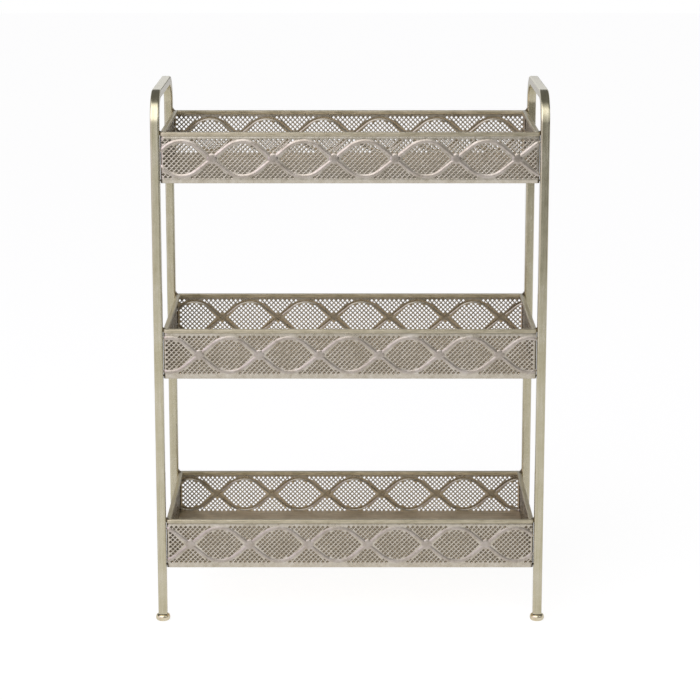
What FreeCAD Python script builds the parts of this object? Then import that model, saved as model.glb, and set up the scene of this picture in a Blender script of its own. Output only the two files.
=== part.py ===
"""Tiered storage stand: two bent tube hoops carry three trays with embossed sheet walls.

Millimetres. +Z is up, +Y is the back and X runs along the trays. The origin is on the floor,
in the middle of the four feet. The trays are welded to the hoops, so nothing moves.
"""
import FreeCAD, Part
import math
import os

# Overall sizes
stand_width = 700.0
stand_depth = 330.0
stand_height = 968.0

# Square tube of the hoops, and the outside radius of their bends
tube_size = 16.0
tube_wall = 1.2
tube_corner_radius = 2.5
bend_radius = 56.0

# Bun feet, with a stud that screws into a plug in the tube
foot_diameter = 26.0
foot_height = 12.0
foot_rest_diameter = 17.0
foot_seat_diameter = 19.0
stud_diameter = 8.0
stud_length = 18.0
stud_clearance = 0.15
plug_length = 22.0
plug_flange = 1.0
plug_corner_radius = 2.0

# Trays, evenly spaced from the lowest one up to the top one, above which the hoops rise as handles
tray_names = ("bottom", "middle", "top")
lowest_tray = 102.0
handle_rise = 70.0
tray_height = 90.0
tray_side_gap = 0.8
tray_inset = 1.0

# Rim bars on top of the walls, mitred at the corners
rim_width = 8.0
rim_height = 7.0
rim_edge_radius = 1.2
rim_corner_radius = 5.0
rim_overhang = 0.8

# Sheet walls, with a border below the bands and a narrower one between them and the rim
sheet = 0.8
wall_return = 12.0
wall_seam = 0.3
lower_border = 8.75
upper_border = 4.75

# Raised bands: two mirrored waves that cross and close into a chain of ovals
oval_pitch = 107.2
band_width = 7.5
band_raise = 0.9
band_groove = 0.4
band_slope = 39.0

# Where a crossing lies from the middle of a wall seen from outside, in shares of oval_pitch
front_phase_shares = {"bottom": 0.30, "middle": 0.49, "top": -0.26}
rear_phase_shares = {"bottom": 0.42, "middle": 0.29, "top": -0.03}
left_phase_shares = {"bottom": 0.16, "middle": 0.50, "top": 0.34}
right_phase_shares = {"bottom": 0.50, "middle": 0.22, "top": 0.05}

# Floor pans, with their edges turned down against the walls
floor_rise = 9.5
floor_flange = 5.0

# Weld fillets between the tray corners and the legs
weld_length = 7.0
front_weld_climb = 2.0
rear_weld_climb = 6.0
weld_reach = 4.0
weld_drop = 5.0
weld_hollow_share = 0.12

# Overrun of a cut past a face, and the slack in telling one direction from another
overrun = 1.0
direction_slack = 0.01

# Places worked out from the sizes above
leg_x = (stand_width - tube_size) / 2
leg_y = (stand_depth - tube_size) / 2
leg_inner_x = stand_width / 2 - tube_size
leg_bottom = foot_height + plug_flange
tube_bore = tube_size - 2 * tube_wall
tray_pitch = (stand_height - handle_rise - tray_height - lowest_tray) / (len(tray_names) - 1)
tray_half_x = leg_inner_x - tray_side_gap
tray_half_y = stand_depth / 2 - tray_inset
wall_half_x = tray_half_x - rim_overhang
wall_half_y = tray_half_y - rim_overhang
wall_corner_radius = rim_corner_radius - rim_overhang
wall_height = tray_height - rim_height
weld_y = rim_corner_radius - tray_half_y

origin = FreeCAD.Vector(0, 0, 0)
x_axis = FreeCAD.Vector(1, 0, 0)
y_axis = FreeCAD.Vector(0, 1, 0)
z_axis = FreeCAD.Vector(0, 0, 1)
corners = ((-1, -1, "front_left"), (1, -1, "front_right"), (-1, 1, "rear_left"), (1, 1, "rear_right"))


def vec(x, y, z):
    return FreeCAD.Vector(x, y, z)


def line(a, b):
    return Part.makeLine(a, b)


def arc_about(centre, radius, start, end, up):
    """Arc from angle start to angle end, in degrees from +X towards the direction up."""
    points = []
    for angle in (start, (start + end) / 2, end):
        turn = math.radians(angle)
        points.append(centre + x_axis * (radius * math.cos(turn)) + up * (radius * math.sin(turn)))
    return Part.Arc(*points).toShape()


def closed_face(edges):
    return Part.Face(Part.Wire(Part.sortEdges(edges)[0]))


def chained(arcs):
    """The arcs with straight lines from each one's end to the start of the next."""
    edges = []
    for now, after in zip(arcs, arcs[1:]):
        edges += [now, line(now.Vertexes[-1].Point, after.Vertexes[0].Point)]
    return edges + [arcs[-1]]


def rounded_rectangle(size_x, size_y, radius, z):
    """Level face with four round corners, about the Z axis."""
    across, deep = size_x / 2 - radius, size_y / 2 - radius
    places = ((across, deep), (-across, deep), (-across, -deep), (across, -deep))
    arcs = [arc_about(vec(x, y, z), radius, 90 * quarter, 90 * (quarter + 1), y_axis)
            for quarter, (x, y) in enumerate(places)]
    edges = chained(arcs)
    edges.append(line(arcs[-1].Vertexes[-1].Point, arcs[0].Vertexes[0].Point))
    return closed_face(edges)


def save(name, shape):
    shape.exportStep("parts/" + name + ".step")


def side_hoop(side):
    """One length of square tube, bent twice into an upside-down U."""
    radius = bend_radius - tube_size / 2
    turn = stand_height - bend_radius
    outer = rounded_rectangle(tube_size, tube_size, tube_corner_radius, leg_bottom)
    bore_corner_radius = tube_corner_radius - tube_wall
    bore = rounded_rectangle(tube_bore, tube_bore, bore_corner_radius, leg_bottom)
    section = outer.cut(bore)
    section.translate(vec(0, -leg_y, 0))
    leg = section.extrude(vec(0, 0, turn - leg_bottom))
    section.translate(vec(0, 0, turn - leg_bottom))
    centre = vec(0, -leg_y + radius, turn)
    bend = section.revolve(centre, -x_axis, 90)
    section.rotate(centre, -x_axis, 90)
    top = section.extrude(vec(0, leg_y - radius, 0))
    half = leg.fuse([bend, top])
    hoop = half.fuse(half.mirror(origin, y_axis)).removeSplitter()
    hoop.translate(vec(side * leg_x, 0, 0))
    return hoop


def foot():
    """Turned bun foot, flat underneath, with a stud on top."""
    rest, seat, stud = foot_rest_diameter / 2, foot_seat_diameter / 2, stud_diameter / 2
    tip = foot_height + stud_length
    side = Part.Arc(vec(rest, 0, 0), vec(foot_diameter / 2, 0, foot_height / 2), vec(seat, 0, foot_height))
    outline = [
        line(origin, vec(rest, 0, 0)),
        side.toShape(),
        line(vec(seat, 0, foot_height), vec(stud, 0, foot_height)),
        line(vec(stud, 0, foot_height), vec(stud, 0, tip)),
        line(vec(stud, 0, tip), vec(0, 0, tip)),
        line(vec(0, 0, tip), origin),
    ]
    return closed_face(outline).revolve(origin, z_axis, 360)


def leg_plug():
    """Square plug in the open end of a leg, with a flange under the tube and a bore for the stud."""
    flange = rounded_rectangle(tube_size, tube_size, tube_corner_radius, foot_height)
    body = rounded_rectangle(tube_bore, tube_bore, plug_corner_radius, foot_height)
    bore_radius = stud_diameter / 2 + stud_clearance
    bore = Part.makeCylinder(bore_radius, plug_flange + plug_length + 2 * overrun,
                             vec(0, 0, foot_height - overrun))
    plug = flange.extrude(vec(0, 0, plug_flange)).fuse(body.extrude(vec(0, 0, plug_flange + plug_length)))
    return plug.cut(bore).removeSplitter()


def is_mitre(edge):
    """True for a level straight edge that runs at 45 degrees."""
    way = edge.tangentAt(edge.FirstParameter)
    straight = edge.Curve.TypeId == "Part::GeomLine"
    return straight and abs(abs(way.x) - abs(way.y)) < direction_slack


def rim_bar(half_length, half_across):
    """Rim bar along X at the front of a tray, cut at 45 degrees and rounded at the outer corners."""
    radius = rim_corner_radius
    front = -half_across
    left, right = [arc_about(vec(side * (half_length - radius), front + radius, wall_height), radius,
                             start, start + 45, y_axis)
                   for side, start in ((-1, 225), (1, 270))]
    inner_left = vec(rim_width - half_length, front + rim_width, wall_height)
    inner_right = vec(half_length - rim_width, front + rim_width, wall_height)
    edges = chained([left, right])
    edges += [
        line(right.Vertexes[-1].Point, inner_right),
        line(inner_right, inner_left),
        line(inner_left, left.Vertexes[0].Point),
    ]
    bar = closed_face(edges).extrude(vec(0, 0, rim_height))
    level = [e for e in bar.Edges if abs(e.tangentAt(e.FirstParameter).z) < direction_slack]
    return bar.makeFillet(rim_edge_radius, [e for e in level if not is_mitre(e)])


def wave_side(up, offset, phase_share, reach):
    """One side of a wave band: arcs over the peaks, joined by the straight slopes."""
    sin, cos = math.sin(math.radians(band_slope)), math.cos(math.radians(band_slope))
    middle = (wall_height + lower_border - upper_border) / 2
    height = (wall_height - lower_border - upper_border - band_width) / 2
    radius = (oval_pitch / 2 * sin - height * cos) / (1 - cos)
    cells = int(reach / oval_pitch) + 2
    arcs = []
    for cell in range(-cells, cells + 1):
        way = up if cell % 2 == 0 else -up
        centre = vec((cell + phase_share + 1 / 2) * oval_pitch, 0, middle + way * (height - radius))
        arcs.append(arc_about(centre, radius + way * offset, way * (90 + band_slope),
                              way * (90 - band_slope), z_axis))
    return chained(arcs)


def wave_face(up, width, phase_share, reach):
    """Flat face of one wave band, in the XZ plane."""
    upper = wave_side(up, width / 2, phase_share, reach)
    lower = wave_side(up, -width / 2, phase_share, reach)
    ends = [line(upper[0].Vertexes[0].Point, lower[0].Vertexes[0].Point),
            line(upper[-1].Vertexes[-1].Point, lower[-1].Vertexes[-1].Point)]
    return closed_face(upper + lower + ends)


def bands(width, depth, near_y, phase_share, reach):
    """Both waves as solids from near_y inwards, cut to the stretch from -reach to +reach."""
    window = Part.makeBox(2 * reach, depth, wall_height, vec(-reach, near_y, 0))
    solids = []
    for up in (1, -1):
        band = wave_face(up, width, phase_share, reach).extrude(vec(0, depth, 0))
        band.translate(vec(0, near_y, 0))
        solids.append(band.common(window))
    return solids


def embossed(plate, outer_y, phase_share, reach):
    """The wall plate with both bands pressed out of its outer face, which faces -Y."""
    raised = bands(band_width, band_raise + sheet / 2, outer_y - band_raise, phase_share, reach)
    groove_y = outer_y + sheet - band_groove
    rising, falling = bands(band_width - 2 * sheet, band_groove + overrun, groove_y, phase_share, reach)
    return plate.fuse(raised).cut(rising).cut(falling).removeSplitter()


def long_wall(phase_share):
    """Front wall, with its ends bent round the corners."""
    radius = wall_corner_radius
    edges = []
    for inset in (0, sheet):
        left, right = [arc_about(vec(side * (wall_half_x - radius), radius - wall_half_y, 0), radius - inset,
                                 start, start + 90, y_axis)
                       for side, start in ((-1, 180), (1, 270))]
        edges += chained([left, right])
        for side, bend_end in ((-1, left.Vertexes[0].Point), (1, right.Vertexes[-1].Point)):
            edges.append(line(bend_end, vec(side * (wall_half_x - inset), wall_return - wall_half_y, 0)))
    for side in (-1, 1):
        edges.append(line(vec(side * wall_half_x, wall_return - wall_half_y, 0),
                          vec(side * (wall_half_x - sheet), wall_return - wall_half_y, 0)))
    plate = closed_face(edges).extrude(vec(0, 0, wall_height))
    return embossed(plate, -wall_half_y, phase_share, wall_half_x - radius)


def end_wall(phase_share):
    """Flat wall between the returns of the long walls, built facing -Y."""
    reach = wall_half_y - wall_return - wall_seam
    plate = Part.makeBox(2 * reach, sheet, wall_height, vec(-reach, -wall_half_x, 0))
    return embossed(plate, -wall_half_x, phase_share, reach)


def floor_pan():
    """Floor sheet between the walls, with its edges turned down."""
    size_x, size_y = 2 * (wall_half_x - sheet), 2 * (wall_half_y - sheet)
    radius = wall_corner_radius - sheet
    low = floor_rise - sheet - floor_flange
    block = rounded_rectangle(size_x, size_y, radius, low).extrude(vec(0, 0, sheet + floor_flange))
    hollow = rounded_rectangle(size_x - 2 * sheet, size_y - 2 * sheet, radius - sheet, low - overrun)
    return block.cut(hollow.extrude(vec(0, 0, floor_flange + overrun)))


def weld(points):
    """Prism of a weld fillet on the front right leg, from its outline, whose last side is hollow by a
    share of its climb or its reach, whichever is less."""
    start, end = points[0], points[-1]
    outward = (end - start).cross(y_axis).normalize()
    hollow = weld_hollow_share * min(abs(end.x - start.x), abs(end.z - start.z))
    edges = [line(a, b) for a, b in zip(points, points[1:])]
    edges.append(Part.Arc(end, (start + end) / 2 - outward * hollow, start).toShape())
    return closed_face(edges).extrude(vec(0, weld_length, 0))


def upper_weld(climb):
    """Fillet from the rim corner up the inner face of the leg."""
    return weld([
        vec(tray_half_x - weld_reach, weld_y, tray_height),
        vec(tray_half_x, weld_y, tray_height),
        vec(tray_half_x, weld_y, tray_height - weld_drop),
        vec(leg_inner_x, weld_y, tray_height - weld_drop),
        vec(leg_inner_x, weld_y, tray_height + climb),
    ])


def lower_weld():
    """Fillet from the foot of the wall corner to the inner face of the leg."""
    return weld([
        vec(leg_inner_x, weld_y, weld_drop),
        vec(wall_half_x, weld_y, weld_drop),
        vec(wall_half_x, weld_y, 0),
    ])


def at_four_corners(front_shape, rear_shape):
    """Shapes made at the front right corner and mirrored to the corners they belong to, as one group."""
    copies = []
    for side_x, side_y, _ in corners:
        shape = front_shape if side_y < 0 else rear_shape
        copy = shape if side_x > 0 else shape.mirror(origin, x_axis)
        copies.append(copy if side_y < 0 else copy.mirror(origin, y_axis))
    return Part.makeCompound(copies)


def tray(name, z):
    """Saves every piece of one tray, whose walls start at height z."""
    long_bar = rim_bar(tray_half_x, tray_half_y)
    end_bar = rim_bar(tray_half_y, tray_half_x)
    pieces = (
        ("rim_front", long_bar, 0),
        ("rim_rear", long_bar, 180),
        ("rim_left", end_bar, -90),
        ("rim_right", end_bar, 90),
        ("wall_front", long_wall(front_phase_shares[name]), 0),
        ("wall_rear", long_wall(rear_phase_shares[name]), 180),
        ("wall_left", end_wall(left_phase_shares[name]), -90),
        ("wall_right", end_wall(right_phase_shares[name]), 90),
        ("floor", floor_pan(), 0),
        ("upper_welds", at_four_corners(upper_weld(front_weld_climb), upper_weld(rear_weld_climb)), 0),
        ("lower_welds", at_four_corners(lower_weld(), lower_weld()), 0),
    )
    for piece, shape, turn in pieces:
        placed = shape.copy()
        placed.rotate(origin, z_axis, turn)
        placed.translate(vec(0, 0, z))
        save(name + "_tray_" + piece, placed)


os.makedirs("parts", exist_ok=True)
save("side_hoop_left", side_hoop(-1))
save("side_hoop_right", side_hoop(1))
for side_x, side_y, corner in corners:
    for piece, shape in (("foot_", foot()), ("leg_plug_", leg_plug())):
        shape.translate(vec(side_x * leg_x, side_y * leg_y, 0))
        save(piece + corner, shape)
for level, tray_name in enumerate(tray_names):
    tray(tray_name, lowest_tray + level * tray_pitch)
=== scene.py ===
"""Tiered storage stand: two bent tube hoops carry three trays with pierced and embossed sheet walls.

Metres. +Z is up, +Y is the back and X runs along the trays. Places come from the CAD frame.
"""
import bpy
import math
import numpy as np
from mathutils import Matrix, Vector


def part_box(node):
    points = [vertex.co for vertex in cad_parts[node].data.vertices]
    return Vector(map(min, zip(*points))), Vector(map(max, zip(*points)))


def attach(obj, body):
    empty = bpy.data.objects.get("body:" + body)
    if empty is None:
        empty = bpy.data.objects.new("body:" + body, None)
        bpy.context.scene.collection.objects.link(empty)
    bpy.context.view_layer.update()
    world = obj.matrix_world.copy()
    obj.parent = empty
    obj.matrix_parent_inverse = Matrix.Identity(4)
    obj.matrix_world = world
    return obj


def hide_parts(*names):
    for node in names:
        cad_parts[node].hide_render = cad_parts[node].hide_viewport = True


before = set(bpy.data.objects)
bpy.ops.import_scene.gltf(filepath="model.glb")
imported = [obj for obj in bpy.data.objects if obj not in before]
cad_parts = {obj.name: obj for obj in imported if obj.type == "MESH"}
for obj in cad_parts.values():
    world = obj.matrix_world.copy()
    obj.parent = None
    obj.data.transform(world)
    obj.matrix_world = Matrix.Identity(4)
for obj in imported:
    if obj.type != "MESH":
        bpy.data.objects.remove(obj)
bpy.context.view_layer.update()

MM = 0.001
TRAYS = ("bottom", "middle", "top")
CORNERS = ("front_left", "front_right", "rear_left", "rear_right")
# Quarter turns about the Z axis that bring a piece built facing -Y to its side of the tray
SIDES = {"front": 0, "right": 1, "rear": 2, "left": 3}

# Photograph's camera
IMAGE_SIZE = 700
CAMERA_PLACE = (0, -4.165, 1.4175)
CAMERA_PITCH_DOWN = 0.2053
FOCAL_PIXELS = 2300
SENSOR_WIDTH = 36
SHIFT_Y = -0.06

# Rounded sections: how far the point beside each round lies from it, in shares of the radius
BESIDE_SHARE = 0.25

# Square tube of the hoops
TUBE_SIZE = 16 * MM
TUBE_CORNER_RADIUS = 2.5 * MM
TUBE_CORNER_STEPS = 5
BEND_RADIUS = 48 * MM
BEND_STEPS = 28

# Rim bars
RIM_WIDTH = 8 * MM
RIM_EDGE_RADIUS = 1.2 * MM
RIM_EDGE_STEPS = 4
RIM_CORNER_RADIUS = 5 * MM
RIM_LEAST_RADIUS = 0.3 * MM
RIM_CORNER_STEPS = 4

# Sheet walls: outline. Past the start of the bend, the lattice and the bands run on for a few
# millimetres, and from DARK_PAST_BEND on the sheet is painted dark: painted shade for the gap beside the
# leg.
SHEET = 0.8 * MM
EDGE_ROUNDING = 0.3 * MM
WALL_CORNER_RADIUS = 4.2 * MM
WALL_RETURN = 12 * MM
END_MARGIN = 2.5 * MM
LATTICE_PAST_BEND = 4.5 * MM
DARK_PAST_BEND = 2.6 * MM
CORNER_FLARE = 0.5 * MM

# Sheet walls: bands pressed out of the sheet, two mirrored waves that close into a chain of ovals. Across a
# band lies an arch with BAND_ROUNDNESS as its power, drawn through points at shares of half its width.
WALL_HEIGHT = 83 * MM
LOWER_BORDER = 8.75 * MM
UPPER_BORDER = 4.75 * MM
OVAL_PITCH = 107.2 * MM
BAND_WIDTH = 7.5 * MM
BAND_RAISE = 0.9 * MM
BAND_SKIN = 0.08 * MM
BAND_LIP = 1.3 * MM
BAND_LIP_SKIN = 0.15 * MM
BAND_STEP = 2 * MM
BAND_ROUNDNESS = 1.3
BAND_POINT_SHARES = (1, 0.85, 0.65, 0.45, 0.25, 0.1, 0, -0.1, -0.25, -0.45, -0.65, -0.85, -1)
CHANNEL_POINTS = 7
BAND_MIDDLE = (WALL_HEIGHT + LOWER_BORDER - UPPER_BORDER) / 2
BAND_SWING = (WALL_HEIGHT - LOWER_BORDER - UPPER_BORDER - BAND_WIDTH) / 2
SLOPE = math.radians(39)
BAND_RADIUS = (OVAL_PITCH / 2 * math.sin(SLOPE) - BAND_SWING * math.cos(SLOPE)) / (1 - math.cos(SLOPE))

# Sheet walls: bosses where the bands cross, with rings of points at shares of their radius, over which
# they fall off with BOSS_FLATNESS as the power
BOSS_RADIUS = 9.5 * MM
BOSS_SIDES = 32
BOSS_FLATNESS = 6
BOSS_RING_SHARES = (0.97, 0.9, 0.8, 0.65, 0.4, 0.12)
# More crossings than a wall has, counted from the one nearest to its middle
CROSSING_NUMBERS = range(-8, 9)

# Where a crossing lies from the middle of a wall seen from outside, in shares of OVAL_PITCH
PHASE_SHARES = {
    "front": {"bottom": 0.30, "middle": 0.49, "top": -0.26},
    "rear": {"bottom": 0.42, "middle": 0.29, "top": -0.03},
    "left": {"bottom": 0.16, "middle": 0.50, "top": 0.34},
    "right": {"bottom": 0.50, "middle": 0.22, "top": 0.05},
}

# Sheet walls: pierced lattices of diamond holes, each row set off by half a pitch from the one below.
# Each oval has a lattice of its own, with rows at whole steps from its middle, and so has each field
# above or below a crossing, at half steps.
HOLES_TO_OVAL = 12.5
COLUMN_STEP = OVAL_PITCH / HOLES_TO_OVAL / 2
ROW_STEP = 4.35 * MM
OVAL_LEVELS = range(-8, 9)
FIELD_LEVELS = [0.5 + step for step in range(9)]
DIAMOND_POINTS = 8
HOLE_TIP_SHARE = 0.6
HOLE_SIDE_SHARE = 0.67
STRAND_RISE = 0.2 * MM
HOLE_EDGE_DROP = 0.2 * MM

# Sheet walls: least distance of a hole's middle from a band's centreline and from a crossing, where the
# sheet ends beside a centreline, under the band, and the least face that is worth drawing
HOLE_TO_BAND = 3.4 * MM
HOLE_TO_CROSSING = 11.6 * MM
SHEET_END = 3.1 * MM
LEAST_AREA = 0.02 * MM ** 2

# Sheet walls: levels in the finish, which go from 0 in the edge of a hole over 1 on the sheet to 2 on
# top of a band; low levels are painted shade, dark in the edges of the holes. The inside of the sheet and
# of the bands, and the head of the wall under the rim, get lower levels: painted shade.
INNER_SHADE_SHARE = 0.72
INNER_BAND_SHADE_LEVEL = 0.48
HEAD_SHADE_LEVEL = 0.35

# Floor pans: the bend as shares of its radius across and down, and the waves of the sheet as their
# height, their turns in radians per metre along X and Y, and in radians from one tray to the next
FLOOR_CORNER_RADIUS = 3.4 * MM
FLOOR_BEND = 0.8 * MM
FLOOR_BEND_SHARES = ((0.5, 0.13), (0.13, 0.5), (0, 1))
FLOOR_GRID = 14 * MM
FLOOR_FADE_X = 4 * FLOOR_GRID
FLOOR_FADE_Y = 2 * FLOOR_GRID
FLOOR_WAVE = 0.25 * MM
FLOOR_WAVES = ((1, 41, 0, 3), (1, 17, 73, 0), (0.6, 97, -59, 0))

# Feet: a bun between its rest and its seat, which bulges out to its radius. Where it starts and how far
# it rises are shares of the foot's height, and BUN_ROUNDNESS is the power of its bulge.
FOOT_RADIUS = 13 * MM
FOOT_HEIGHT = 12 * MM
FOOT_REST_RADIUS = 8.5 * MM
FOOT_SEAT_RADIUS = 9.5 * MM
FOOT_EDGE = 0.5 * MM
FOOT_STEPS = 16
FOOT_SIDES = 64
BUN_START_SHARE = 0.02
BUN_RISE_SHARE = 0.95
BUN_ROUNDNESS = 0.8
STUD_RADIUS = 4 * MM

# Finish: scale, detail and roughness of each noise (the grain's scale is the material's own), the share
# of the grain, where the tones lie and how far the patches range
STREAK_NOISE = (1.0, 4.0, 0.6)
CLOUD_NOISE = (22.0, 5.0, 0.65)
GRAIN_NOISE = (3.0, 0.7)
GRAIN_SHARE = 0.25
TONE_PLACES = (0.42, 0.6, 0.82)
PATCH_RANGE = (0.3, 0.7)
BUMP_DISTANCE = 0.4 * MM
COAT_ROUGHNESS = 0.2

# Finish of the walls: painted shade in the edges of the holes, and the levels at which a band's tint,
# which is painted shade, darker and a little cool, and its roughness and bump set in
HOLE_SHADE_COLOUR = (62, 56, 48)
BAND_LEVELS = (1.0, 1.2)
# Painted shade: the bands' colour is made darker and a little cool
BAND_SHADE_TINT = (0.82, 0.8, 0.84, 1)
BAND_GLOSS = 0.3
BAND_BUMP = 0.7

# Stage: a floor whose front edge lies below the camera's view. Metal shows part of its white, and the
# shades of the world in place of the world's white.
STAGE_HALF = 14
STAGE_FRONT = -3.6
STAGE_COLOUR = (0.92, 0.92, 0.92, 1)
STAGE_GLOW = 1.14
STAGE_GLOW_SHARE = 0.8
STAGE_IN_METAL_SHARE = 0.45
WORLD_IN_METAL_SHARE = 0.0
WHITE = (1, 1, 1, 1)

# World: shades by direction, as the axis, where along it the shade starts and stops to change, and what
# it is at these two places
FRONT_SHADE = ("Y", -0.5, -0.2, 1.0, 0.16)
HORIZON_SHADE = ("Z", 0.16, 0.42, 1.0, 0.16)
RIGHT_CHANGE = ("X", -0.25, 0.3, 0.15, -0.65)
FORWARD_SHARE = ("Y", -0.4, 0.1, 1.0, 0.0)
UNDER_SHARE = ("Z", 0.0, 0.12, 1.0, 0.0)
UNDER_SHADE = ("X", -0.14, 0.14, 0.76, 0.06)
COOL_SHARE = ("X", -0.45, -0.15, 1.0, 0.0)
COOL_TINT = (1.05, 0.94, 1.2, 1)

SMOOTH_ANGLE = math.radians(38)

# Places nearer to each other than TINY are one, and PLACE_SPAN is more of them than any wall is long
TINY = 0.00001 * MM
PLACE_SPAN = 10 ** 10


def add_piece(name, points, flat, faces, material, replaced, raised_and_shade=None, soft=None):
    """One visible piece as a mesh. flat is where each point lies before any bending, and raised_and_shade
    its level, from its relief and with painted shade, both for the finish. No edge between two soft points
    is sharp."""
    mesh = bpy.data.meshes.new(name)
    mesh.from_pydata(np.asarray(points, float).tolist(), [], faces)
    mesh.shade_smooth()
    mesh.set_sharp_from_angle(angle=SMOOTH_ANGLE)
    if soft is not None:
        soften(mesh, soft)
    run = mesh.attributes.new("run", "FLOAT_VECTOR", "POINT")
    run.data.foreach_set("vector", np.asarray(flat, np.float32).ravel())
    if raised_and_shade is not None:
        level = mesh.attributes.new("raised_and_shade", "FLOAT", "POINT")
        level.data.foreach_set("value", np.asarray(raised_and_shade, np.float32))
    mesh.materials.append(material)
    piece = bpy.data.objects.new(name, mesh)
    bpy.context.scene.collection.objects.link(piece)
    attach(piece, "root")
    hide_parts(*replaced)
    return piece


def soften(mesh, soft):
    """Takes the sharp mark off the edges between two points that are soft."""
    marks = mesh.attributes.get("sharp_edge")
    if marks is None:
        return
    ends = np.zeros(2 * len(mesh.edges), np.int32)
    mesh.edges.foreach_get("vertices", ends)
    sharp = np.zeros(len(mesh.edges), bool)
    marks.data.foreach_get("value", sharp)
    sharp &= ~soft[ends.reshape(-1, 2)].all(axis=1)
    marks.data.foreach_set("value", sharp)


def turned(points, quarters):
    """The points turned about the Z axis by a number of quarter turns."""
    cos, sin = ((1, 0), (0, 1), (-1, 0), (0, -1))[quarters]
    x, y, z = np.asarray(points, float).T
    return np.stack([x * cos - y * sin, x * sin + y * cos, z], axis=1)


def swept(count, size):
    """Faces of a tube with closed ends through count sections of size points each, which lie one after
    the other in the point list and run anticlockwise seen from where the tube goes."""
    faces = []
    for ring in range(count - 1):
        for k in range(size):
            a, b = ring * size + k, ring * size + (k + 1) % size
            faces.append((a, b, b + size, a + size))
    faces.append(tuple(range(size - 1, -1, -1)))
    faces.append(tuple(range((count - 1) * size, count * size)))
    return faces


def swept_back(count, size):
    """Faces as swept gives them, for sections that run clockwise."""
    return [face[::-1] for face in swept(count, size)]


def rounded_section(width, height, radius, steps):
    """Outline of a rectangle with round corners about the origin, anticlockwise, with a point beside
    each round so that the flats shade flat."""
    points = []
    beside = radius * BESIDE_SHARE
    for quarter in range(4):
        corner_x = (width / 2 - radius) * (1 if quarter in (0, 3) else -1)
        corner_y = (height / 2 - radius) * (1 if quarter in (0, 1) else -1)
        start = quarter * math.pi / 2
        before = np.array([math.sin(start), -math.cos(start)]) * beside
        after = np.array([-math.cos(start), -math.sin(start)]) * beside
        turns = [start + math.pi / 2 * k / steps for k in range(steps + 1)]
        arc = [np.array([corner_x + radius * math.cos(a), corner_y + radius * math.sin(a)]) for a in turns]
        points += [arc[0] + before] + arc + [arc[-1] + after]
    return np.array(points)


def hoop(side):
    """One length of square tube, bent twice into an upside-down U."""
    node = "side_hoop_" + side
    low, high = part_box(node)
    centre_x = (low.x + high.x) / 2
    leg_y = high.y - TUBE_SIZE / 2
    turn_z = high.z - TUBE_SIZE / 2 - BEND_RADIUS
    turn_y = leg_y - BEND_RADIUS
    quarter = [math.pi / 2 * k / BEND_STEPS for k in range(BEND_STEPS + 1)]
    path = [(-leg_y, low.z, 0.0)]
    path += [(-turn_y - BEND_RADIUS * math.cos(a), turn_z + BEND_RADIUS * math.sin(a), a) for a in quarter]
    path += [(turn_y + BEND_RADIUS * math.sin(a), turn_z + BEND_RADIUS * math.cos(a), a + math.pi / 2)
             for a in quarter]
    path.append((leg_y, low.z, math.pi))
    section = rounded_section(TUBE_SIZE, TUBE_SIZE, TUBE_CORNER_RADIUS, TUBE_CORNER_STEPS)
    points, flat = [], []
    along = 0.0
    for index, (y, z, angle) in enumerate(path):
        if index:
            along += math.dist((y, z), path[index - 1][:2])
        for across, outward in section:
            points.append((centre_x + across, y - outward * math.cos(angle), z + outward * math.sin(angle)))
            flat.append((along, across, outward))
    faces = swept_back(len(path), len(section))
    return add_piece(node + "_tube", points, flat, faces, MATERIALS["tube"], [node])


def rim_bar(tray, side):
    """Rim bar on one side of a tray, cut at 45 degrees and rounded at the outer corners."""
    node = tray + "_tray_rim_" + side
    low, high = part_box(node)
    half_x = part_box(tray + "_tray_rim_right")[1].x
    half_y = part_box(tray + "_tray_rim_rear")[1].y
    half_run, half_across = (half_x, half_y) if side in ("front", "rear") else (half_y, half_x)
    height = high.z - low.z
    section = rounded_section(RIM_WIDTH, height, RIM_EDGE_RADIUS, RIM_EDGE_STEPS)
    stations = [(-1, math.radians(a)) for a in np.linspace(225, 270, RIM_CORNER_STEPS + 1)]
    stations += [(1, math.radians(a)) for a in np.linspace(270, 315, RIM_CORNER_STEPS + 1)]
    points, flat = [], []
    for end, angle in stations:
        for across, up in section:
            inset = RIM_WIDTH / 2 + across
            radius = max(RIM_CORNER_RADIUS - inset, RIM_LEAST_RADIUS)
            x = end * (half_run - inset - radius) + radius * math.cos(angle)
            y = -(half_across - inset - radius) + radius * math.sin(angle)
            points.append((x, y, low.z + height / 2 + up))
            flat.append((x, inset, up))
    faces = swept(len(stations), len(section))
    return add_piece(node + "_bar", turned(points, SIDES[side]), flat, faces, MATERIALS["rim"],
                     [node])


def crossings(phase):
    """Places along a wall, and past its ends, where its bands cross."""
    return [(phase + number) * OVAL_PITCH for number in CROSSING_NUMBERS]


def band_offset(u, v, phase):
    """Distance from the centreline of the nearer wave, below zero inside the ovals."""
    cell_u = np.abs((u / OVAL_PITCH - phase) % 1 - 0.5) * OVAL_PITCH
    cell_v = np.abs(v - BAND_MIDDLE)
    arc_centre = BAND_SWING - BAND_RADIUS
    on_arc = cell_u * math.cos(SLOPE) < (cell_v - arc_centre) * math.sin(SLOPE)
    past_arc = np.hypot(cell_u, cell_v - arc_centre) - BAND_RADIUS
    past_slope = (cell_u - OVAL_PITCH / 2) * math.sin(SLOPE) + cell_v * math.cos(SLOPE)
    return np.where(on_arc, past_arc, past_slope)


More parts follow.
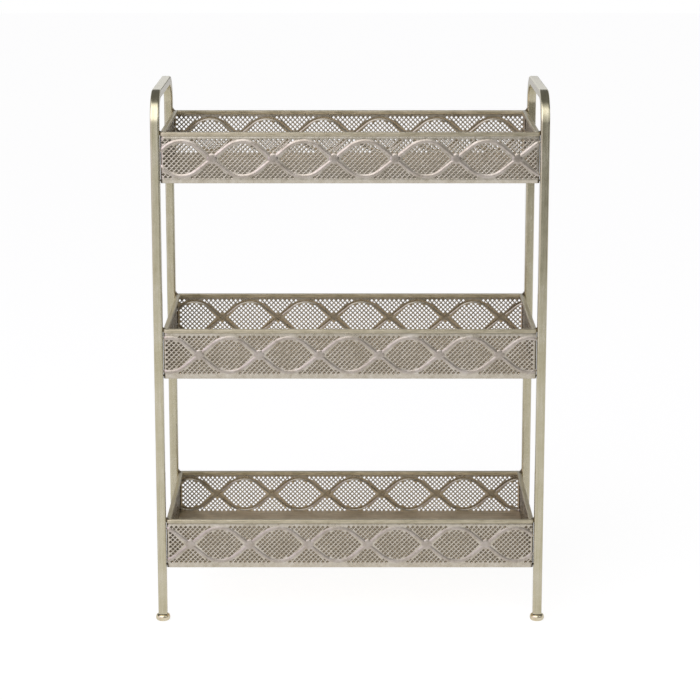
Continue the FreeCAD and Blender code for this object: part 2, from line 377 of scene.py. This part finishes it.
def wave(u, phase, up):
    """Height of one wave's centreline above the foot of the wall, and its slope. up is 1 or -1."""
    cell = np.floor(u / OVAL_PITCH - phase)
    way = np.where(cell % 2 == 0, up, -up)
    cell_u = (u / OVAL_PITCH - phase - cell - 0.5) * OVAL_PITCH
    on_arc = np.abs(cell_u) < BAND_RADIUS * math.sin(SLOPE)
    root = np.sqrt(BAND_RADIUS ** 2 - np.where(on_arc, cell_u, 0) ** 2)
    straight = (OVAL_PITCH / 2 - np.abs(cell_u)) * math.tan(SLOPE)
    rise = np.where(on_arc, BAND_SWING - BAND_RADIUS + root, straight)
    slope = np.where(on_arc, -cell_u / root, -np.sign(cell_u) * math.tan(SLOPE))
    return BAND_MIDDLE + way * rise, way * slope


def is_pierced(u, v, phase):
    """Whether there is room for a hole between the bands and the crossings."""
    to_crossing = np.abs((u / OVAL_PITCH - phase + 0.5) % 1 - 0.5) * OVAL_PITCH
    clear_of_crossing = np.hypot(to_crossing, v - BAND_MIDDLE) > HOLE_TO_CROSSING
    return (np.abs(band_offset(u, v, phase)) > HOLE_TO_BAND) & clear_of_crossing


def between_rings(outer, inner):
    """Quads between two rings of points round each hole."""
    corners = [outer, np.roll(outer, -1, axis=1), np.roll(inner, -1, axis=1), inner]
    return np.stack(corners, axis=2).reshape(-1, 4, 3)


def diamonds(cols, rows, offsets, numbers, phase):
    """Triangles and quads of one lattice, as the u, v and relief of their corners. A diamond lies round
    each point whose column offset and row number add up to an odd number, and those on the outline
    are cut in half. It is drawn by its tips and the middles of its sides."""
    steps = np.arange(DIAMOND_POINTS)
    turn = 2 * math.pi * steps / DIAMOND_POINTS
    on_side = (steps % 2 == 1)[:, None]
    reach = np.stack([np.cos(turn) * COLUMN_STEP, np.sin(turn) * ROW_STEP], axis=1)
    reach = reach * np.where(on_side, math.sqrt(0.5), 1)
    row_of, col_of = np.nonzero((numbers[:, None] + offsets[None, :]) % 2 == 1)
    middle = np.stack([cols[col_of], rows[row_of]], axis=1)
    whole = (row_of > 0) & (row_of < len(rows) - 1) & (col_of > 0) & (col_of < len(cols) - 1)
    pierced = whole & is_pierced(middle[:, 0], middle[:, 1], phase)
    ring = middle[:, None] + reach

    def lifted(flat):
        """The points with their relief: flush along the outline of the lattice and lifted inside it."""
        u, v = flat[..., 0], flat[..., 1]
        at_outline = (u < cols[0] + TINY) | (u > cols[-1] - TINY)
        at_outline |= (v < rows[0] + TINY) | (v > rows[-1] - TINY)
        return np.concatenate([flat, np.where(at_outline, 0, STRAND_RISE)[..., None]], axis=-1)

    # Triangles about the middle of each diamond without a hole, as far as they lie inside the outline
    fans = np.stack([np.broadcast_to(middle[:, None], ring.shape), ring, np.roll(ring, -1, axis=1)], axis=2)
    fans = fans[~pierced].reshape(-1, 3, 2)
    u, v = fans.mean(axis=1).T
    within = (u > cols[0]) & (u < cols[-1]) & (v > rows[0]) & (v < rows[-1])

    # Rings of quads from the outline of each other diamond over its strands down into its hole
    hole_share = np.where(on_side, HOLE_SIDE_SHARE, HOLE_TIP_SHARE)
    rings = [lifted(ring[pierced])]
    for share, relief in (((1 + hole_share) / 2, STRAND_RISE / 2), (hole_share, -HOLE_EDGE_DROP)):
        flat = middle[pierced][:, None] + reach * share
        rings.append(np.concatenate([flat, np.full(flat.shape[:2] + (1,), relief)], axis=2))
    quads = [between_rings(outer, inner) for outer, inner in zip(rings, rings[1:])]
    return lifted(fans[within]), np.concatenate(quads)


def beside_bands(corners, way, phase, limit):
    """The corners, with those under a band moved out to the line where the sheet ends in its lip. That is
    square to the band's centreline, or along the limit for corners that lie there."""
    u, v = corners[..., 0], corners[..., 1]
    side = 1 if way else -1
    offset = side * band_offset(u, v, phase)
    slope_u = (side * band_offset(u + TINY, v, phase) - offset) / TINY
    slope_v = (side * band_offset(u, v + TINY, phase) - offset) / TINY
    short = np.maximum(SHEET_END - offset, 0)
    at_limit = np.abs(u) > limit - TINY
    move_u = np.where(at_limit, 0, short * slope_u)
    move_v = short * np.where(at_limit, 1 / slope_v, slope_v)
    return np.stack([u + move_u, v + move_v, corners[..., 2]], axis=-1)


def areas(corners):
    """Area of each face seen from outside, from the u and v of its corners."""
    u, v = corners[..., 0], corners[..., 1]
    return (u * np.roll(v, -1, axis=1) - v * np.roll(u, -1, axis=1)).sum(axis=1) / 2


def plain_quads(cols, rows):
    """Flush quads of a grid, as the u, v and relief of their corners, one column after the other."""
    low_u, low_v = [grid.ravel() for grid in np.meshgrid(cols[:-1], rows[:-1], indexing="ij")]
    high_u, high_v = [grid.ravel() for grid in np.meshgrid(cols[1:], rows[1:], indexing="ij")]
    flush = np.zeros_like(low_u)
    corners = ((low_u, low_v), (high_u, low_v), (high_u, high_v), (low_u, high_v))
    return np.stack([np.stack([u, v, flush], axis=1) for u, v in corners], axis=1)


def field(centre, way, phase, half_run, limit):
    """Triangles and quads of the field above (way 1) or below (way -1) the crossing at centre, or in the
    oval round centre (way 0). half_run is where the wall starts to bend and limit where the field ends."""
    low, high = max(centre - OVAL_PITCH / 2, -limit), min(centre + OVAL_PITCH / 2, limit)
    most = math.floor(HOLES_TO_OVAL)
    offsets = np.arange(-most, most + 1)
    inner = centre + COLUMN_STEP * offsets
    kept = (inner > low + EDGE_ROUNDING) & (inner < high - EDGE_ROUNDING)
    levels = np.sort(way * np.array(FIELD_LEVELS)) if way else np.array(OVAL_LEVELS)
    numbers = np.floor(np.abs(levels)).astype(int)
    rows = BAND_MIDDLE + ROW_STEP * levels
    foot_rows = [0, EDGE_ROUNDING] if way < 0 else []
    head_rows = [WALL_HEIGHT - EDGE_ROUNDING, WALL_HEIGHT] if way > 0 else []
    all_rows = np.concatenate([foot_rows, rows, head_rows])
    triangles = np.zeros((0, 3, 3))
    if kept.sum() < 2:
        quads = [plain_quads(np.array([low, high]), all_rows)]
    else:
        cols = inner[kept]
        before = [u for u in (low, -half_run) if low <= u < cols[0] - EDGE_ROUNDING]
        after = [u for u in (half_run, high) if cols[-1] + EDGE_ROUNDING < u <= high]
        triangles, pierced_quads = diamonds(cols, rows, offsets[kept], numbers, phase)
        quads = [pierced_quads,
                 plain_quads(np.append(before, cols[0]), all_rows),
                 plain_quads(np.insert(after, 0, cols[-1]), all_rows),
                 plain_quads(cols, np.append(foot_rows, rows[0])),
                 plain_quads(cols, np.insert(head_rows, 0, rows[-1]))]
    faces = []
    for corners in (triangles, np.concatenate(quads)):
        u, v = corners[..., 0].mean(axis=1), corners[..., 1].mean(axis=1)
        offset = band_offset(u, v, phase)
        mine = (offset >= 0) & (way * (v - BAND_MIDDLE) > 0) if way else offset < 0
        moved = beside_bands(corners[mine], way, phase, limit)
        faces.append(moved[areas(moved) > LEAST_AREA])
    return faces


def pierced_face(phase, half_run, limit, ends):
    """Triangles and quads of the outer face of a wall's sheet, as the u, v and relief of their corners:
    all its fields, and plain columns from limit over the ends."""
    triangles, quads = [], []
    for crossing in crossings(phase):
        for centre, way in ((crossing, 1), (crossing, -1), (crossing + OVAL_PITCH / 2, 0)):
            if abs(centre) < limit + OVAL_PITCH / 2 - EDGE_ROUNDING:
                more_triangles, more_quads = field(centre, way, phase, half_run, limit)
                triangles.append(more_triangles)
                quads.append(more_quads)
    triangles, quads = np.concatenate(triangles), np.concatenate(quads)
    at_limit = quads[np.abs(quads[..., 0]) > limit - TINY]
    levels = np.unique(np.round(at_limit[:, 1] / TINY)) * TINY
    left, right = np.append(-np.array(ends)[::-1], -limit), np.insert(ends, 0, limit)
    return triangles, np.concatenate([quads, plain_quads(left, levels), plain_quads(right, levels)])


def merged(triangles, quads):
    """One point for all the corners that meet at a place, and the faces by the numbers of their points."""
    corners = np.concatenate([triangles.reshape(-1, 3), quads.reshape(-1, 3)])
    u_key, v_key = np.round(corners[:, :2] / TINY).astype(np.int64).T
    first, index = np.unique(u_key * PLACE_SPAN + v_key, return_index=True, return_inverse=True)[1:]
    triangles, quads = index[:3 * len(triangles)].reshape(-1, 3), index[3 * len(triangles):].reshape(-1, 4)

    # A quad with two of its corners at one place is a triangle
    repeated = quads == np.roll(quads, -1, axis=1)
    folded = repeated.any(axis=1)
    triangles = np.concatenate([triangles, quads[folded][~repeated[folded]].reshape(-1, 3)])
    return corners[first], triangles, quads[~folded]


def lattice(phase, half_run, limit, ends):
    """The pierced sheet of one wall, without its bands, in wall coordinates: u along the wall, v up and
    d outwards. ends lists the columns of points beyond limit. Returns the points, the level of each in the
    finish, from its relief and with painted shade, and the faces."""
    front, triangles, quads = merged(*pierced_face(phase, half_run, limit, ends))
    total = len(front)
    u, v, relief = front.T.copy()

    # The back of the sheet, with the sheet's outline thinner than the rest
    at_edge = (v < TINY) | (v > WALL_HEIGHT - TINY) | (np.abs(u) > ends[-1] - TINY)
    dip = np.where(at_edge, EDGE_ROUNDING, 0)
    front[:, 2] = relief - dip
    back = front.copy()
    back[:, 2] = dip - relief - SHEET

    # A side along each edge that has a face on one side only
    start = np.concatenate([triangles.ravel(), quads.ravel()])
    stop = np.concatenate([np.roll(faces, -1, axis=1).ravel() for faces in (triangles, quads)])
    alone = ~np.isin(start * total + stop, stop * total + start)
    start, stop = start[alone], stop[alone]
    sides = np.stack([stop, start, start + total, stop + total], axis=1)
    quads = np.concatenate([quads, quads[:, ::-1] + total, sides])
    triangles = np.concatenate([triangles, triangles[:, ::-1] + total])

    # Levels in the finish: 0 in the edges of the holes, painted shade there, and painted shade at the head
    # of the wall under the rim, past the bend beside the leg and all over the inside of the sheet
    raised_and_shade = 1 + np.minimum(relief, 0) / HOLE_EDGE_DROP
    raised_and_shade[v > WALL_HEIGHT - 2 * EDGE_ROUNDING] = HEAD_SHADE_LEVEL
    raised_and_shade[np.abs(u) > half_run + DARK_PAST_BEND] = 0
    raised_and_shade = np.concatenate([raised_and_shade, INNER_SHADE_SHARE * raised_and_shade])
    return np.concatenate([front, back]), raised_and_shade, quads.tolist() + triangles.tolist()


def band_section():
    """Outline of a band across its run: a round outer face, and a channel with a lip each side behind."""
    half, inner = BAND_WIDTH / 2, BAND_WIDTH / 2 - BAND_LIP
    low = -SHEET - BAND_LIP_SKIN

    def arch(across, reach):
        """Height of an arch above its ends, which lie at reach from its middle."""
        return BAND_RAISE * (1 - abs(across / reach) ** BAND_ROUNDNESS)

    outer = [(across, BAND_SKIN + arch(across, half)) for across in half * np.array(BAND_POINT_SHARES)]
    channel = [(across, low + arch(across, inner)) for across in np.linspace(-inner, inner, CHANNEL_POINTS)]
    return np.array(outer + [(-half, low)] + channel + [(half, low)])


def band(phase, up, limit):
    """One wave band of a wall, in wall coordinates."""
    section = band_section()
    stations = np.linspace(-limit, limit, round(2 * limit / BAND_STEP) + 1)
    height, slope = wave(stations, phase, up)
    length = np.hypot(1, slope)
    points = []
    for u, v, rise, size in zip(stations, height, slope, length):
        along = np.clip(u - section[:, 0] * rise / size, -limit, limit)
        points.append(np.stack([along, v + section[:, 0] / size, section[:, 1]], axis=1))
    return np.concatenate(points), swept_back(len(stations), len(section))


def boss(u):
    """Flat-topped round boss where the two bands of a wall cross, in wall coordinates."""
    rings = [(1, -SHEET - BAND_LIP_SKIN / 2), (1, BAND_SKIN)]
    rings += [(share, BAND_SKIN + BAND_RAISE * (1 - share ** BOSS_FLATNESS)) for share in BOSS_RING_SHARES]
    turn = 2 * math.pi * np.arange(BOSS_SIDES) / BOSS_SIDES
    points = []
    for share, d in rings:
        across, up = BOSS_RADIUS * share * np.cos(turn), BOSS_RADIUS * share * np.sin(turn)
        points.append(np.stack([u + across, BAND_MIDDLE + up, np.full(BOSS_SIDES, d)], axis=1))
    return np.concatenate(points), swept(len(rings), BOSS_SIDES)


def on_long_wall(points, half_run, face):
    """Wall coordinates of a front wall brought to its place, with its ends bent round the corners."""
    u, v, d = points.T
    radius = WALL_CORNER_RADIUS
    past = np.maximum(np.abs(u) - half_run, 0)
    angle = np.minimum(past / radius, math.pi / 2)
    straight = np.maximum(past - radius * math.pi / 2, 0)
    side = np.sign(u)
    x = np.where(past > 0, side * (half_run + (radius + d) * np.sin(angle)), u)
    y = -(face - radius) - (radius + d) * np.cos(angle) + straight
    return np.stack([x, y, v], axis=1)


def on_end_wall(points, face):
    """Wall coordinates of a flat wall brought to its place, facing -Y."""
    u, v, d = points.T
    return np.stack([u, -face - d, v], axis=1)


def wall(tray, side):
    """One pierced wall of a tray, with its bands and the bosses where they cross."""
    node = tray + "_tray_wall_" + side
    low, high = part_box(node)
    phase = PHASE_SHARES[side][tray]
    is_long = side in ("front", "rear")
    if is_long:
        face = high.y - BAND_RAISE if side == "rear" else -low.y - BAND_RAISE
        half_run = high.x + CORNER_FLARE - WALL_CORNER_RADIUS
        limit = half_run + LATTICE_PAST_BEND
        bend_end = half_run + WALL_CORNER_RADIUS * math.pi / 2
        tail = WALL_RETURN - WALL_CORNER_RADIUS
        ends = [(limit + bend_end) / 2, bend_end, bend_end + tail / 2, bend_end + tail - EDGE_ROUNDING,
                bend_end + tail]
    else:
        face = high.x - BAND_RAISE if side == "right" else -low.x - BAND_RAISE
        half_run = limit = high.y - END_MARGIN
        ends = [high.y - EDGE_ROUNDING, high.y]
    points, raised_and_shade, faces = lattice(phase, half_run, limit, ends)
    soft = np.abs(band_offset(points[:, 0], points[:, 1], phase)) > SHEET_END + EDGE_ROUNDING
    parts = [band(phase, 1, limit), band(phase, -1, limit)]
    parts += [boss(u) for u in crossings(phase) if abs(u) < half_run - BOSS_RADIUS]
    for more, more_faces in parts:
        faces += [tuple(k + len(points) for k in face_points) for face_points in more_faces]
        points = np.concatenate([points, more])
        soft = np.concatenate([soft, np.zeros(len(more), bool)])
        # Painted shade over the inside of the bands; outside, the level follows the band's height
        level = np.where(more[:, 2] < 0, INNER_BAND_SHADE_LEVEL, 1 + more[:, 2] / BAND_RAISE)
        raised_and_shade = np.concatenate([raised_and_shade, level])
    placed = on_long_wall(points, half_run, face) if is_long else on_end_wall(points, face)
    placed = turned(placed, SIDES[side])
    placed[:, 2] += low.z
    # A metre from one wall to the next, so that no two have the same marks in their finish
    flat = points + np.array([SIDES[side] + len(SIDES) * TRAYS.index(tray), 0, 0])
    return add_piece(node + "_pierced", placed, flat, faces, MATERIALS["wall"], [node],
                     raised_and_shade, soft)


def floor_grid(high, inset, level, tray, wave_height=0):
    """Points of a floor sheet in rows and columns, with the corner points drawn in to the round corner.
    high is the upper corner of the floor's box, and wave_height makes the sheet wavy."""
    radius = FLOOR_CORNER_RADIUS - inset
    half_x, half_y = high.x - inset, high.y - inset
    stations = []
    for half in (half_x, half_y):
        inner = np.linspace(radius - half, half - radius, round(2 * half / FLOOR_GRID))
        stations.append(np.concatenate([[-half], inner, [half]]))
    x, y = np.meshgrid(*stations)
    drawn_in = radius * (1 - math.sqrt(0.5))
    for row in (0, -1):
        for col in (0, -1):
            x[row, col] -= math.copysign(drawn_in, x[row, col])
            y[row, col] -= math.copysign(drawn_in, y[row, col])
    fade_x = np.clip((half_x - np.abs(x)) / FLOOR_FADE_X, 0, 1)
    fade_y = np.clip((half_y - np.abs(y)) / FLOOR_FADE_Y, 0, 1)
    swell = sum(share * np.sin(along_x * x + along_y * y + per_tray * TRAYS.index(tray))
                for share, along_x, along_y, per_tray in FLOOR_WAVES)
    return np.stack([x, y, level + wave_height * (fade_x * fade_y) * swell], axis=2)


def border(grid):
    """The outline of a grid of points, anticlockwise."""
    return np.concatenate([grid[0, :-1], grid[:-1, -1], grid[-1, :0:-1], grid[:0:-1, 0]])


def floor_pan(tray):
    """Floor sheet of a tray, slightly wavy, with its edges turned down against the walls."""
    node = tray + "_tray_floor"
    low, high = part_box(node)
    upper = floor_grid(high, FLOOR_BEND, high.z, tray, FLOOR_WAVE)
    under = floor_grid(high, FLOOR_BEND + SHEET / 2, high.z - SHEET, tray, FLOOR_WAVE)
    levels = [(FLOOR_BEND * share, high.z - FLOOR_BEND * drop) for share, drop in FLOOR_BEND_SHARES]
    levels += [(0, low.z), (SHEET, low.z), (SHEET, high.z - SHEET - FLOOR_BEND)]
    loops = [border(floor_grid(high, inset, level, tray)) for inset, level in levels]
    points = np.concatenate([upper.reshape(-1, 3), under.reshape(-1, 3)] + loops)

    # The two sides of the sheet, and the bend, flange and its inside between their outlines
    index = np.arange(upper.shape[0] * upper.shape[1]).reshape(upper.shape[:2])
    quads = np.stack([index[:-1, :-1], index[:-1, 1:], index[1:, 1:], index[1:, :-1]], axis=2)
    quads = quads.reshape(-1, 4)
    faces = np.stack([quads, quads[:, ::-1] + index.size], axis=1).reshape(-1, 4).tolist()
    steps = np.arange(len(loops[0]))
    rings = [2 * index.size + len(steps) * k + steps for k in range(len(loops))]
    rings = [border(index)] + rings + [border(index) + index.size]
    for higher, lower in zip(rings, rings[1:]):
        faces += np.stack([np.roll(higher, -1), higher, lower, np.roll(lower, -1)], axis=1).tolist()
    return add_piece(node + "_sheet", points, points, faces, MATERIALS["floor"], [node])


def foot(corner):
    """Turned bun foot with its stud."""
    node = "foot_" + corner
    low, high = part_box(node)
    centre = (low + high) / 2
    profile = [(FOOT_REST_RADIUS - FOOT_EDGE, 0), (FOOT_REST_RADIUS, FOOT_EDGE / 4)]
    for k in range(1, FOOT_STEPS):
        turn = math.pi * k / FOOT_STEPS
        blend = (1 - math.cos(turn)) / 2
        neck = FOOT_REST_RADIUS + (FOOT_SEAT_RADIUS - FOOT_REST_RADIUS) * blend
        bulge = (FOOT_RADIUS - neck) * math.sin(turn) ** BUN_ROUNDNESS
        profile.append((neck + bulge, FOOT_HEIGHT * (BUN_START_SHARE + BUN_RISE_SHARE * blend)))
    profile += [(FOOT_SEAT_RADIUS, FOOT_HEIGHT - FOOT_EDGE / 4),
                (FOOT_SEAT_RADIUS - FOOT_EDGE, FOOT_HEIGHT),
                (STUD_RADIUS, FOOT_HEIGHT),
                (STUD_RADIUS, high.z - FOOT_EDGE),
                (STUD_RADIUS - FOOT_EDGE, high.z)]
    flat = []
    for radius, z in profile:
        for k in range(FOOT_SIDES):
            turn = 2 * math.pi * k / FOOT_SIDES
            flat.append((radius * math.cos(turn), radius * math.sin(turn), z))
    points = np.array(flat) + np.array([centre.x, centre.y, 0])
    faces = swept(len(profile), FOOT_SIDES)
    return add_piece(node + "_bun", points, flat, faces, MATERIALS["foot"], [node])


class Tree:
    """The node tree of a material or world, cleared. An input that is given a socket is linked to it, and
    one that is given anything else is set to it."""

    def __init__(self, owner):
        owner.use_nodes = True
        self.tree = owner.node_tree
        self.tree.nodes.clear()

    def add(self, kind, inputs, **settings):
        """Adds a node, with its inputs by name or number."""
        node = self.tree.nodes.new("ShaderNode" + kind)
        for name, value in settings.items():
            setattr(node, name, value)
        for key, value in inputs.items():
            if isinstance(value, bpy.types.NodeSocket):
                self.tree.links.new(value, node.inputs[key])
            else:
                node.inputs[key].default_value = value
        return node

    def calculated(self, operation, *values):
        """Number from one calculation on the values."""
        return self.add("Math", dict(enumerate(values)), operation=operation).outputs[0]

    def ranged(self, value, low, high, at_low=0.0, at_high=1.0, interpolation="LINEAR"):
        """Number that goes from at_low to at_high while the value goes from low to high."""
        inputs = {"Value": value, "From Min": low, "From Max": high, "To Min": at_low, "To Max": at_high}
        return self.add("MapRange", inputs, interpolation_type=interpolation).outputs[0]

    def mixed(self, factor, first, second):
        """Number between first and second."""
        return self.add("Mix", {0: factor, 2: first, 3: second}, data_type="FLOAT").outputs[0]

    def mixed_colour(self, factor, first, second, blend_type="MIX"):
        """Colour between first and second, or where blend_type says so, first times second."""
        inputs = {0: factor, 6: first, 7: second}
        return self.add("Mix", inputs, data_type="RGBA", blend_type=blend_type).outputs[2]

    def mixed_shader(self, factor, first, second):
        """Shader between those of two nodes."""
        return self.add("MixShader", {0: factor, 1: first.outputs[0], 2: second.outputs[0]}).outputs[0]

    def noise(self, place, scale, detail, roughness):
        """Number between 0 and 1 from a noise."""
        inputs = {"Vector": place, "Scale": scale, "Detail": detail, "Roughness": roughness}
        return self.add("TexNoise", inputs).outputs["Fac"]

    def ramp(self, value, places, colours):
        """Colour ramp with a colour at each place."""
        node = self.add("ValToRGB", {"Fac": value})
        elements = node.color_ramp.elements
        while len(elements) < len(places):
            elements.new(0.5)
        for element, place, colour in zip(elements, places, colours):
            element.position = place
            element.color = colour
        return node.outputs["Color"]

    def background_share(self, in_metal_share):
        """Share of the white background: whole for the camera and through glass, and less in metal."""
        seen = self.add("LightPath", {}).outputs
        clear = self.calculated("MAXIMUM", seen["Is Camera Ray"], seen["Is Transmission Ray"])
        return self.calculated("MULTIPLY_ADD", seen["Is Glossy Ray"], in_metal_share, clear)


def linear(values):
    """Linear colour from its red, green and blue as seen on a screen, 0 to 255."""
    shares = [value / 255 for value in values]
    return (*[share / 12.92 if share < 0.0404 else ((share + 0.055) / 1.055) ** 2.4 for share in shares], 1)


def embossed_and_shaded(tree, colour, gloss, bump):
    """The walls' finish with painted shade: dark in the edges of the holes, and a darker, cooler tint on
    the bands.
    """
    level = tree.add("Attribute", {}, attribute_name="raised_and_shade").outputs["Fac"]
    # Painted shade: dark in the edges of the holes and wherever the level is low
    colour = tree.mixed_colour(tree.ranged(level, 0.0, 1.0), linear(HOLE_SHADE_COLOUR), colour)
    on_band = tree.ranged(level, *BAND_LEVELS)
    # Painted shade: the bands get a darker, slightly cool tint
    colour = tree.mixed_colour(on_band, colour, BAND_SHADE_TINT, "MULTIPLY")
    return colour, tree.mixed(on_band, gloss, BAND_GLOSS), tree.mixed(on_band, bump, BAND_BUMP)


def satin_metal(name, tones, roughness, streaks, grain, bump=0.15, coat=0.0, refined=None):
    """Lacquered metal with streaks along its run, cloudy patches and a fine grain. tones are its dark,
    middle and light colours as seen on a screen, roughness its least and most, and streaks and grain how
    fast they change along each axis. refined changes its colour, roughness and bump once more."""
    material = bpy.data.materials.new(name)
    tree = Tree(material)
    run = tree.add("Attribute", {}, attribute_name="run").outputs["Vector"]
    stretched = tree.add("VectorMath", {0: run, 1: streaks}, operation="MULTIPLY").outputs[0]
    patches = tree.mixed(0.5, tree.noise(stretched, *STREAK_NOISE), tree.noise(run, *CLOUD_NOISE))
    speckled = tree.calculated("MULTIPLY_ADD", tree.noise(run, grain, *GRAIN_NOISE), GRAIN_SHARE, patches)
    colour = tree.ramp(speckled, TONE_PLACES, [linear(tone) for tone in tones])
    gloss = tree.ranged(patches, *PATCH_RANGE, *roughness)
    if refined:
        colour, gloss, bump = refined(tree, colour, gloss, bump)
    relief = tree.add("Bump", {"Strength": bump, "Distance": BUMP_DISTANCE, "Height": speckled})
    shader = tree.add("BsdfPrincipled", {
        "Base Color": colour, "Metallic": 1.0, "Roughness": gloss, "Normal": relief.outputs[0],
        "Coat Weight": coat, "Coat Roughness": COAT_ROUGHNESS})
    tree.add("OutputMaterial", {"Surface": shader.outputs[0]})
    return material


MATERIALS = {
    "tube": satin_metal("tube_satin", tones=((186, 178, 145), (207, 200, 171), (222, 216, 193)),
                        roughness=(0.2, 0.3), streaks=(12, 300, 300), grain=900, coat=0.4),
    "rim": satin_metal("rim_satin", tones=((150, 141, 113), (194, 185, 158), (222, 214, 190)),
                       roughness=(0.32, 0.46), streaks=(40, 320, 320), grain=900, bump=0.25, coat=0.15),
    "wall": satin_metal("wall_satin", tones=((176, 167, 147), (207, 199, 181), (230, 224, 210)),
                        roughness=(0.22, 0.36), streaks=(120, 120, 120), grain=1200, refined=embossed_and_shaded),
    "floor": satin_metal("floor_satin", tones=((182, 169, 144), (226, 213, 189), (248, 238, 218)),
                         roughness=(0.5, 0.6), streaks=(5, 240, 160), grain=700),
    "foot": satin_metal("foot_polished", tones=((196, 180, 140), (222, 210, 178), (236, 228, 204)),
                        roughness=(0.12, 0.2), streaks=(80, 80, 80), grain=900, bump=0.06),
    # Welds: dark brown, darker than the metal round them
    "weld": satin_metal("weld_dark", tones=((84, 74, 60), (112, 100, 82), (140, 128, 106)),
                        roughness=(0.4, 0.6), streaks=(300, 300, 300), grain=1500, bump=0.4),
    "plug": satin_metal("plug_dark", tones=((40, 38, 34), (54, 51, 46), (70, 66, 60)),
                        roughness=(0.4, 0.55), streaks=(200, 200, 200), grain=900),
}


def stage_material():
    """Pale matt floor that stays white round the object and keeps its shadow."""
    material = bpy.data.materials.new("pale_floor")
    tree = Tree(material)
    matt = tree.add("BsdfDiffuse", {"Color": STAGE_COLOUR})
    glow = tree.add("Emission", {"Color": WHITE, "Strength": STAGE_GLOW})
    share = tree.calculated("MULTIPLY", tree.background_share(STAGE_IN_METAL_SHARE), STAGE_GLOW_SHARE)
    tree.add("OutputMaterial", {"Surface": tree.mixed_shader(share, matt, glow)})
    return material


def stage_floor():
    """The floor that the stand is on."""
    mesh = bpy.data.meshes.new("stage_floor")
    corners = ((-STAGE_HALF, STAGE_FRONT), (STAGE_HALF, STAGE_FRONT), (STAGE_HALF, STAGE_HALF),
               (-STAGE_HALF, STAGE_HALF))
    mesh.from_pydata([(x, y, 0) for x, y in corners], [], [(0, 1, 2, 3)])
    mesh.materials.append(stage_material())
    plane = bpy.data.objects.new("stage_floor", mesh)
    bpy.context.scene.collection.objects.link(plane)


def studio_world():
    """A bright front and horizon under a dim ceiling, all darker towards the front right and cooler
    towards the front left, and a ground beyond the floor that is dark on the right."""
    world = bpy.data.worlds.new("studio")
    bpy.context.scene.world = world
    tree = Tree(world)
    place = tree.add("TexCoord", {}).outputs["Generated"]
    parts = tree.add("SeparateXYZ", {0: place}).outputs

    def graded(axis, *limits):
        """Number that changes smoothly along one axis of the direction."""
        return tree.ranged(parts[axis], *limits, interpolation="SMOOTHSTEP")

    forward = graded(*FORWARD_SHARE)
    uneven = tree.calculated("MULTIPLY_ADD", graded(*RIGHT_CHANGE), forward, 1.0)
    brighter = tree.calculated("MAXIMUM", graded(*FRONT_SHADE), graded(*HORIZON_SHADE))
    above = tree.calculated("MULTIPLY", brighter, uneven)
    level = tree.mixed(graded(*UNDER_SHARE), above, graded(*UNDER_SHADE))
    coolness = tree.calculated("MULTIPLY", graded(*COOL_SHARE), forward)
    tint = tree.mixed_colour(coolness, WHITE, COOL_TINT)
    dome = tree.add("Background", {"Color": tint, "Strength": level})
    white = tree.add("Background", {"Color": WHITE, "Strength": 1.0})
    share = tree.background_share(WORLD_IN_METAL_SHARE)
    tree.add("OutputWorld", {"Surface": tree.mixed_shader(share, dome, white)})


def area_light(name, place, target, width, height, watts, colour):
    """Soft lamp that is aimed at a target and that the camera doesn't see."""
    light = bpy.data.lights.new(name, "AREA")
    light.color = colour
    light.shape = "RECTANGLE"
    light.size, light.size_y = width, height
    light.energy = watts
    lamp = bpy.data.objects.new(name, light)
    lamp.location = place
    direction = Vector([there - here for there, here in zip(target, place)])
    lamp.rotation_euler = direction.to_track_quat("-Z", "Y").to_euler()
    lamp.visible_camera = False
    bpy.context.scene.collection.objects.link(lamp)


def camera():
    """Camera at the photograph's viewing angle."""
    lens = bpy.data.cameras.new("camera")
    lens.sensor_width = SENSOR_WIDTH
    lens.lens = FOCAL_PIXELS * SENSOR_WIDTH / IMAGE_SIZE
    lens.shift_y = SHIFT_Y
    eye = bpy.data.objects.new("camera", lens)
    eye.location = CAMERA_PLACE
    eye.rotation_euler = (math.pi / 2 - CAMERA_PITCH_DOWN, 0, 0)
    bpy.context.scene.collection.objects.link(eye)
    bpy.context.scene.camera = eye


camera()
for side in ("left", "right"):
    hoop(side)
for corner in CORNERS:
    foot(corner)
for tray in TRAYS:
    floor_pan(tray)
    for side in SIDES:
        rim_bar(tray, side)
        wall(tray, side)

# The CAD nodes that stay are the leg plugs and the welds
for name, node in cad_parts.items():
    if not node.hide_render:
        node.data.materials.clear()
        node.data.materials.append(MATERIALS["plug" if name.startswith("leg_plug") else "weld"])

stage_floor()
studio_world()
area_light("key", place=(-1.2, -1.9, 2.4), target=(-0.1, -0.5, 0.2), width=4.4, height=3.0, watts=42,
           colour=(0.98, 0.97, 1.0))
area_light("fill", place=(2.6, -1.8, 2.2), target=(0, 0, 0.5), width=1.6, height=1.6, watts=8,
           colour=(1.0, 1.0, 1.0))
bpy.context.scene.view_settings.view_transform = "Standard"
